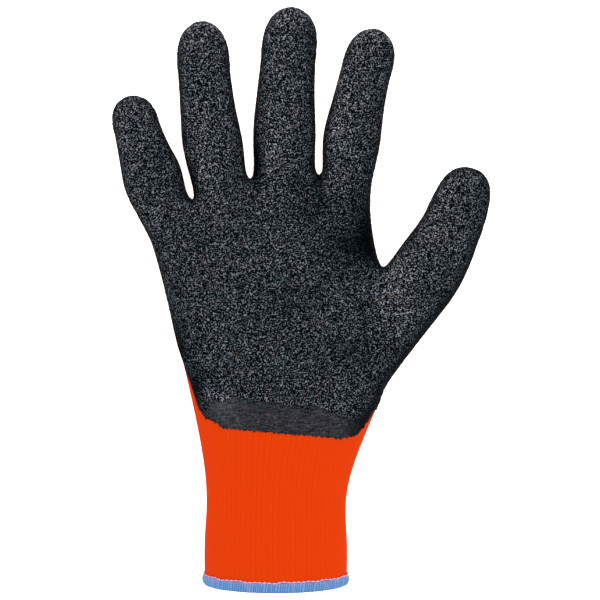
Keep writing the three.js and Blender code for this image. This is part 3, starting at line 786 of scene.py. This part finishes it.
def blend(tree, share, a, b):
    """Colour a at share 0 and b at share 1."""
    made = node(tree, "ShaderNodeMix", data_type="RGBA")
    for index, value in ((0, share), (6, a), (7, b)):
        if isinstance(value, bpy.types.NodeSocket):
            tree.links.new(value, made.inputs[index])
        else:
            made.inputs[index].default_value = value
    return made.outputs[2]


def noise(tree, place, cells, detail=2.0, rough=0.5, distort=0.0):
    """The value of a noise texture with so many cells per metre at a place."""
    inputs = {"Vector": place, "Scale": cells, "Detail": detail, "Roughness": rough, "Distortion": distort}
    return node(tree, "ShaderNodeTexNoise", inputs).outputs["Fac"]


def object_place(tree):
    """Each point's place in its object."""
    return node(tree, "ShaderNodeTexCoord").outputs["Object"]


def attribute(tree, name):
    """A number that the mesh holds for each point."""
    return node(tree, "ShaderNodeAttribute", attribute_name=name).outputs["Fac"]


def dress(tree, shader, paint, relief, roughness, specular):
    """Gives a shader its colour, its relief (height, strength and depth in metres) and its constants."""
    bump = node(tree, "ShaderNodeBump", dict(zip(("Height", "Strength", "Distance"), relief)))
    tree.links.new(bump.outputs["Normal"], shader.inputs["Normal"])
    tree.links.new(paint, shader.inputs["Base Color"])
    shader.inputs["Roughness"].default_value = roughness
    shader.inputs["Specular IOR Level"].default_value = specular


def knit_material():
    """Orange knit: each wale is two legs that lean together into a V for each course, with the deeper groove
    between one wale and the next. The height is 1 - (1 - leg) (1 - 0.6 bead), where leg is a sine across the wale
    and bead a sine along each slanted course. Where the height is low, in the grooves, the colour darkens to
    painted shade."""
    material, tree, shader = new_material("orange knit")
    stitch = node(tree, "ShaderNodeUVMap", uv_map="knit").outputs["UV"]
    parts = node(tree, "ShaderNodeSeparateXYZ", {"Vector": stitch}).outputs
    across = math_node(tree, "ABSOLUTE", math_node(tree, "SUBTRACT", math_node(tree, "FRACT", parts["X"]), 0.5))
    leg = math_node(tree, "SINE", math_node(tree, "MULTIPLY_ADD", across, 1.8 * math.pi, 0.1 * math.pi))
    slant = math_node(tree, "FRACT", math_node(tree, "ADD", parts["Y"], across))
    bead = math_node(tree, "SINE", math_node(tree, "MULTIPLY", slant, math.pi))
    off_bead = math_node(tree, "MULTIPLY_ADD", bead, -0.6, 1.0)
    dip = math_node(tree, "MULTIPLY", math_node(tree, "SUBTRACT", 1.0, leg), off_bead)
    height = math_node(tree, "SUBTRACT", 1.0, dip)
    fuzzy = math_node(tree, "MULTIPLY_ADD", noise(tree, object_place(tree), 2600.0), 0.3, height)
    # Painted shade where the height is low, in the grooves
    paint = blend(tree, ramp(tree, height, 0.0, 0.9), COLOURS["knit groove shade"], COLOURS["knit leg"])
    dress(tree, shader, paint, (fuzzy, 0.3, 0.0003), 0.95, 0.02)
    return material


def latex_material():
    """Crinkled latex. Noise gives its ridges, which are fainter in patches and missing on the band. The ridges'
    pale colour is painted highlight over the dark latex. A ridge's painted highlight is its height times the
    painted light and shade that each point holds, and its red, green and blue are that light to a power of their
    own. The band is streaked along its length with painted highlight and has dusty patches, and the painted light
    and shade scale it too. Rare brown specks lie on both, dimmed by the same painted shade."""
    material, tree, shader = new_material("crinkled latex")
    place, band, tone = object_place(tree), attribute(tree, "band"), attribute(tree, "tone")
    folds = ramp(tree, noise(tree, place, 1600.0, detail=0.0, distort=0.3), 0.46, 0.71)
    patches = ramp(tree, noise(tree, place, 500.0, detail=0.0), 0.30, 0.62, 0.5, 1.0)
    off_band = math_node(tree, "SUBTRACT", 1.0, band)
    crinkle = math_node(tree, "MULTIPLY", math_node(tree, "MULTIPLY", folds, patches), off_band)
    grain = noise(tree, place, 2200.0, detail=1.0, rough=0.6)
    height = math_node(tree, "MULTIPLY_ADD", grain, 0.15, crinkle)

    # Painted highlights on the ridges, warm or cool at random, scaled by the ridges' height and the painted light
    # and shade
    hue = ramp(tree, noise(tree, place, 700.0, detail=1.0), 0.35, 0.65)
    ridge_highlight_paint = blend(tree, hue, COLOURS["cool ridge highlight"], COLOURS["warm ridge highlight"])
    light = math_node(tree, "MULTIPLY", crinkle, tone)
    shares = {key: math_node(tree, "POWER", light, power) for key, power in RIDGE_HIGHLIGHT_POWERS.items()}
    share = node(tree, "ShaderNodeCombineXYZ", shares).outputs["Vector"]
    inputs = {0: ridge_highlight_paint, 1: share, 2: COLOURS["dip"]}
    rough_paint = node(tree, "ShaderNodeVectorMath", inputs, operation="MULTIPLY_ADD").outputs["Vector"]

    # Painted highlight streaks along the band, broken up by noise
    stretched = node(tree, "ShaderNodeMapping", {"Vector": place, "Scale": STREAK_HIGHLIGHT_SCALE}).outputs["Vector"]
    highlight_streaks = ramp(tree, noise(tree, stretched, 1.0, detail=3.0, rough=0.65), 0.3, 0.7)
    breaks = ramp(tree, noise(tree, place, 1500.0), 0.3, 0.7, 0.4, 1.6)
    highlight_streaked = blend(tree, math_node(tree, "MULTIPLY", highlight_streaks, breaks), COLOURS["band"], COLOURS["streak highlight"])
    dusty = ramp(tree, noise(tree, place, 150.0, detail=1.0), 0.42, 0.66, 0.2, 0.75)
    dust = ramp(tree, noise(tree, place, 1400.0, detail=0.0), 0.60, 0.72)
    dust = math_node(tree, "MULTIPLY", dust, dusty)
    # The band's colour, with its dust, scaled by the painted light and shade
    inputs = {0: blend(tree, dust, highlight_streaked, COLOURS["dust"]), "Scale": tone}
    smooth_paint = node(tree, "ShaderNodeVectorMath", inputs, operation="SCALE").outputs["Vector"]

    specks = ramp(tree, noise(tree, place, 1300.0, detail=0.0), 0.76, 0.82)
    rare = ramp(tree, noise(tree, place, 90.0, detail=1.0), 0.52, 0.68)
    rare = math_node(tree, "MAXIMUM", rare, math_node(tree, "MULTIPLY", band, 0.35))
    specks = math_node(tree, "MULTIPLY", math_node(tree, "MULTIPLY", specks, rare), tone)
    paint = blend(tree, specks, blend(tree, band, rough_paint, smooth_paint), COLOURS["speck"])
    dress(tree, shader, paint, (height, 0.8, 0.0004), 0.5, 0.003)
    return material


def thread_material(name):
    """Twisted thread: its attribute ridge runs from its shadow colour to its own, and its attribute fleck to
    the colour of the other thread's strands."""
    material, tree, shader = new_material(name)
    shadow, colour, strand = COLOURS[name]
    fibre = noise(tree, object_place(tree), 1800.0, detail=3.0, rough=0.6)
    share = math_node(tree, "MULTIPLY", attribute(tree, "ridge"), ramp(tree, fibre, 0.25, 0.6, 0.6, 1.0))
    paint = blend(tree, attribute(tree, "fleck"), blend(tree, share, shadow, colour), strand)
    dress(tree, shader, paint, (fibre, 0.4, 0.0002), 0.9, 0.05)
    return material


def hem_ring(surface, samples):
    """The cuff's edge as samples evenly spaced points, each with its outward normal and the way up the cuff."""
    around = surface.around
    rim = np.nonzero(around.on_rim[:, 0])[0]
    inward = summed(len(surface.points), around.ends[:, 0], surface.points[around.ends[:, 1]]) / around.valence
    up = inward[rim] - surface.points[rim]
    centre = surface.points[rim].mean(0)
    offset = surface.points[rim] - centre
    order = np.argsort(np.arctan2(offset[:, 2], offset[:, 0]))
    table = np.c_[surface.points[rim], surface.normals[rim], up][order]
    table = np.r_[table, table[:1]]
    run = np.r_[0, np.cumsum(np.linalg.norm(np.diff(table[:, :3], axis=0), axis=1))]
    wanted = np.arange(samples) / samples * run[-1]
    places = np.stack([np.interp(wanted, run, column) for column in table.T], -1)
    edge, normal, up = places[:, :3], places[:, 3:6], places[:, 6:]
    normal /= np.linalg.norm(normal, axis=1, keepdims=True)
    up -= (up * normal).sum(1, keepdims=True) * normal
    return edge, normal, up / np.linalg.norm(up, axis=1, keepdims=True)


def closed_grid(rows, columns):
    """The quads of a grid that closes on itself both ways, outward for a grid that winds right-handed."""
    index = np.arange(rows * columns).reshape(rows, columns)
    return ring_quads(index, np.roll(index, -1, 0)).reshape(-1, 4)


class GLOVE_OT_liner(bpy.types.Operator):
    """Builds the knitted liner: an outer layer, and an inner one a wall's thickness inside it"""

    bl_idname = "glove.liner"
    bl_label = "Knitted liner"

    def execute(self, context):
        """The outer layer is one level finer than the inner, and polygons of five close the cuff's edge."""
        sizes = context.scene.glove_sizes
        coarse, fine = hand_surfaces(sizes, LINER_LEVEL)[-2:]
        inner = coarse.points - sizes.knit_wall * coarse.normals
        first = len(fine.points)
        rim = rim_polygons(rim_of(coarse, np.ones(len(coarse.quads), bool)), first)
        item = make_mesh(
            "liner",
            np.r_[fine.points, inner],
            [fine.quads, first + coarse.quads[:, ::-1], rim],
            [fine.stitches, coarse.stitches[:, ::-1], np.zeros(rim.shape + (2,))],
        )
        item.data.materials.append(knit_material())
        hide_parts(*KNIT_NODES)
        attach(item, "root")
        return {"FINISHED"}


class GLOVE_OT_coating(bpy.types.Operator):
    """Builds the latex coating over palm, finger fronts and tips"""

    bl_idname = "glove.coating"
    bl_label = "Latex coating"

    def tone(self, surface):
        """The painted light and shade of the film. Painted shade darkens it where it turns from straight up to the
        side, sooner at the thumb's side of the palm and later at the fingertips, where rims that face the tip are
        painted lighter. Off the palm, what faces the little finger's side is painted lighter than what faces the
        thumb. Each place of the table multiplies it by (1 + change * bell) squared."""
        x, y, _ = surface.points.T
        to_thumb, to_tips, up = surface.normals.T
        on_palm = smoothstep(*PALM_FADE, y)
        on_tips = smoothstep(*TIPS_FADE, y) * np.maximum(0, to_tips)
        facing = smoothstep(*FACING_FADE, up - 0.3 * on_palm * np.maximum(0, to_thumb) + 0.6 * on_tips)
        side = 1 + 0.5 * on_tips - up * to_thumb * (1 - on_palm) * mix(0.2, 0.5, smoothstep(*MIDDLE_FADE, x))
        spot = {key: column[:, None] for key, column in named(PAINTED_LIGHT_COLUMNS, PAINTED_LIGHT_SPOTS).items()}
        across, along = (x - spot["across"]) / spot["wide"], (y - spot["along"]) / spot["high"]
        bell = np.exp(-across * across - along * along)
        return mix(DARKEST_PAINTED_SHADE, 1, facing) * side * np.prod(1 + spot["change"] * bell, axis=0) ** 2

    def rounded(self, surface):
        """The surface's points, slid along it by a bell curve around the corner of the film's lower edge."""
        points, normals = surface.points, surface.normals
        bell = np.exp(-(((points[:, :2] - FILM_CORNER) / CORNER_RADIUS) ** 2).sum(1))
        slide = (bell * (points[:, 2] > FRONT_HEIGHT))[:, None] * CORNER_SLIDE
        return points + slide - (slide * normals).sum(1, keepdims=True) * normals

    def band(self, points, edge):
        """1 on the smooth band above the front's lower edge and 0 elsewhere; its upper edge is soft and wobbles."""
        front = edge[(edge[:, 1] < FRONT_EDGE) & (edge[:, 2] > FRONT_HEIGHT)]
        front = front[np.argsort(front[:, 0])]
        above = points[:, 1] - np.interp(points[:, 0], front[:, 0], front[:, 1])
        table = named(BAND_COLUMNS, BAND)
        above = above - np.interp(points[:, 0], table["across"], table["height"])
        above = above + BAND_WOBBLE * waves(points, "band edge")
        return smoothstep(BAND_BLUR, -BAND_BLUR, above) * (points[:, 2] > FRONT_HEIGHT)

    def height(self, sizes, points, to_edge, band):
        """The film's height over the knit. It thins out to its edge, less so on the fingers, and folds of two
        lengths crease it, but for the smooth band."""
        folds = waves(points, "long folds") + 0.7 * waves(points, "short folds")
        crease = np.exp(-((folds / 0.7) ** 2)) - 0.5
        on_fingers = smoothstep(*FEATHER_FADE, points[:, 1])
        feather = mix(sizes.coat_feather, sizes.coat_thickness, 0.7 * on_fingers)
        height = mix(feather, sizes.coat_thickness, smoothstep(0, EDGE_FADE, to_edge))
        return height + sizes.crinkle * crease * (1 - band) * smoothstep(0, FOLD_FADE, to_edge)

    def execute(self, context):
        """The outer layer stands over the knit and has small teeth in its lower edge; the inner one lies just
        inside the knit."""
        sizes = context.scene.glove_sizes
        coarse, fine = hand_surfaces(sizes, FILM_LEVEL)[-2:]
        ends = rim_of(coarse, coarse.coated)
        points = self.rounded(fine)
        edge = points[np.unique(np.r_[ends[0], ends[1]])]
        to_edge = distance_to(points, edge)
        band = self.band(points, edge)
        outer = points + self.height(sizes, points, to_edge, band)[:, None] * fine.normals
        teeth = TEETH_DEPTH * waves(points * np.array([1, 0.1, 1]), "teeth") * np.exp(-to_edge / TEETH_REACH)
        outer[:, 1] -= teeth * (points[:, 1] < FRONT_EDGE)
        outer[:, 2] = np.maximum(outer[:, 2], FLOOR_GAP)
        inner = self.rounded(coarse) - FILM_SINK * coarse.normals
        first = len(outer)
        # Painted light and shade for each point, kept beside the band's mask
        paint = {"band": band, "tone": self.tone(fine)}
        item = make_mesh(
            "coating",
            np.r_[outer, inner],
            [fine.quads[fine.coated], first + coarse.quads[coarse.coated][:, ::-1], rim_polygons(ends, first)],
            values={key: np.r_[value, np.zeros(len(inner))] for key, value in paint.items()},
        )
        item.data.materials.append(latex_material())
        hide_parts("latex_coating")
        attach(item, "root")
        return {"FINISHED"}


class GLOVE_OT_hem(bpy.types.Operator):
    """Builds the overlocked hem: thread wrapped over the cuff's edge, and the pink needle thread at its top"""

    bl_idname = "glove.hem"
    bl_label = "Overlocked hem"

    def carried(self, ring, out, up):
        """A profile carried round the edge: places (samples, sides, 3) from how far out and up each lies."""
        edge, normal, upward = ring
        return edge[:, None] + out[..., None] * normal[:, None] + up[..., None] * upward[:, None]

    def wraps(self, sizes, ring):
        """A U-shaped profile carried round the edge and raised by half a sine for each wrap. The wraps slant, stand
        unevenly and differ in fullness. A few pink strands cross the front, and the upper part is tinted violet:
        the needle thread's loops, in painted shade. Each wrap is painted in shade between wraps and towards the
        hem's underside, and in its own colour on its bulge."""
        half_wall, half_height = sizes.knit_wall / 2, sizes.hem_height / 2
        turn = np.arange(HEM_SIDES) / HEM_SIDES * 2 * math.pi
        out_share = np.sign(np.cos(turn)) * np.abs(np.cos(turn)) ** HEM_SQUARENESS
        up_share = np.sign(np.sin(turn)) * np.abs(np.sin(turn)) ** HEM_SQUARENESS
        wrap = np.arange(len(ring[0]))[:, None] / HEM_SAMPLES + WRAP_SLANT * np.sin(turn)
        wrap = wrap + WRAP_UNEVEN * waves(ring[0], "uneven wraps")[:, None]
        fullness = np.random.default_rng(WRAP_SEED).uniform(*WRAP_FULLNESS, sizes.hem_wraps)
        fullness = fullness[np.floor(wrap).astype(int) % sizes.hem_wraps]
        bulge = np.abs(np.sin(math.pi * wrap)) ** WRAP_ROUNDNESS * fullness
        out = -half_wall + (half_wall + sizes.hem_thread) * out_share * (0.74 + 0.26 * bulge)
        height = half_height - sizes.hem_thread + half_height * up_share * (0.92 + 0.08 * bulge)
        places = self.carried(ring, out, height)
        strands = np.exp(-(((places[..., :1] - STRANDS) / STRAND_WIDTH) ** 2)).sum(-1)
        fleck = 0.35 * strands * (places[..., 2] > HEM_FRONT) * smoothstep(0.6, 0.0, up_share)
        violet = 0.34 * smoothstep(0.1, 0.75, up_share) * (0.7 + 0.5 * waves(places, "violet"))
        shade = bulge * (1 - 0.35 * smoothstep(-0.5, -1.0, up_share))
        return places, shade, np.clip(fleck + violet, 0, 0.6)

    def needle(self, sizes, ring):
        """A round profile carried along the outside of the hem's upper edge; its path sways out and up once for
        every second wrap."""
        phase = np.arange(len(ring[0])) / HEM_SAMPLES * math.pi
        level = sizes.hem_height - sizes.hem_thread - NEEDLE_DROP
        level = level + NEEDLE_SWAY["up"] * np.sin(phase) + NEEDLE_SWAY["path"] * waves(ring[0], "needle path")
        turn = np.arange(NEEDLE_SIDES) / NEEDLE_SIDES * 2 * math.pi
        out = (NEEDLE_OUT + NEEDLE_SWAY["out"] * np.cos(phase))[:, None] + NEEDLE_RADIUS * np.cos(turn)
        places = self.carried(ring, out, level[:, None] + NEEDLE_RADIUS * np.sin(turn))
        shade = 0.5 + 0.5 * np.broadcast_to(np.sin(phase)[:, None], out.shape)
        return places, shade, np.zeros_like(shade)

    def execute(self, context):
        """Each thread is a surface on a grid that closes on itself both ways."""
        sizes = context.scene.glove_sizes
        ring = hem_ring(hand_surfaces(sizes, LINER_LEVEL)[-1], sizes.hem_wraps * HEM_SAMPLES)
        threads = (("hem", self.wraps, "blue thread"), ("needle_thread", self.needle, "pink thread"))
        for name, thread, material in threads:
            places, ridge, fleck = thread(sizes, ring)
            grid = closed_grid(*places.shape[:2])
            values = {"ridge": ridge.reshape(-1), "fleck": fleck.reshape(-1)}
            item = make_mesh(name, places.reshape(-1, 3), [grid], values=values)
            item.data.materials.append(thread_material(material))
            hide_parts("hem_overlock")
            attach(item, "root")
        return {"FINISHED"}


class GLOVE_OT_stage(bpy.types.Operator):
    """Adds the floor, the soft light and the camera straight above"""

    bl_idname = "glove.stage"
    bl_label = "Floor, light and camera"

    def execute(self, context):
        """A pale floor, one wide soft light above it, a pale world and a long lens looking straight down."""
        scene = context.scene
        half_side = 3.0
        corners = half_side * np.array([(-1, -1, 0), (1, -1, 0), (1, 1, 0), (-1, 1, 0)])
        floor = make_mesh("floor", corners, [np.array([[0, 1, 2, 3]])])
        material, _, shader = new_material("floor")
        shader.inputs["Base Color"].default_value = (0.9, 0.9, 0.9, 1)
        shader.inputs["Emission Color"].default_value = (1, 1, 1, 1)
        shader.inputs["Emission Strength"].default_value = 0.9
        shader.inputs["Roughness"].default_value = 0.9
        floor.data.materials.append(material)
        light = bpy.data.lights.new("soft light", "AREA")
        light.shape, light.size, light.energy = "DISK", 1.0, 10.0
        lamp = bpy.data.objects.new("soft light", light)
        lamp.location = (0.15, 0.25, 1.3)
        lamp.rotation_euler = (math.radians(-11), math.radians(7), 0)
        scene.collection.objects.link(lamp)
        world = bpy.data.worlds.new("soft world")
        world.use_nodes = True
        background = world.node_tree.nodes["Background"]
        background.inputs["Color"].default_value = (1, 1, 1, 1)
        background.inputs["Strength"].default_value = 1.45
        scene.world = world
        camera = bpy.data.cameras.new("camera")
        camera.lens, camera.sensor_width = 346.0, 36.0
        view = bpy.data.objects.new("camera", camera)
        view.location = (-0.0011, -0.0004, 2.617)
        scene.collection.objects.link(view)
        scene.camera = view
        scene.view_settings.view_transform = "Standard"
        return {"FINISHED"}


class GLOVE_PT_panel(bpy.types.Panel):
    """The glove's sizes and the steps that build it"""

    bl_label = "Coated Work Glove"
    bl_idname = "GLOVE_PT_panel"
    bl_space_type = "VIEW_3D"
    bl_region_type = "UI"
    bl_category = "Glove"

    def draw(self, context):
        """One row for each size, then one button for each step."""
        sizes = context.scene.glove_sizes
        for key in sizes.bl_rna.properties.keys():
            if key not in ("rna_type", "name"):
                self.layout.prop(sizes, key)
        for operator in OPERATORS:
            self.layout.operator(operator.bl_idname)


OPERATORS = (GLOVE_OT_liner, GLOVE_OT_coating, GLOVE_OT_hem, GLOVE_OT_stage)
CLASSES = (GloveSizes, *OPERATORS, GLOVE_PT_panel)


def register():
    """Registers the classes and the sizes that they read."""
    for item in CLASSES:
        bpy.utils.register_class(item)
    bpy.types.Scene.glove_sizes = PointerProperty(type=GloveSizes)


def unregister():
    """Takes back what register adds."""
    del bpy.types.Scene.glove_sizes
    for item in reversed(CLASSES):
        bpy.utils.unregister_class(item)


def main():
    """Builds the glove and its stage."""
    register()
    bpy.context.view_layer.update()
    for step in (bpy.ops.glove.liner, bpy.ops.glove.coating, bpy.ops.glove.hem, bpy.ops.glove.stage):
        step()


if __name__ == "__main__":
    main()
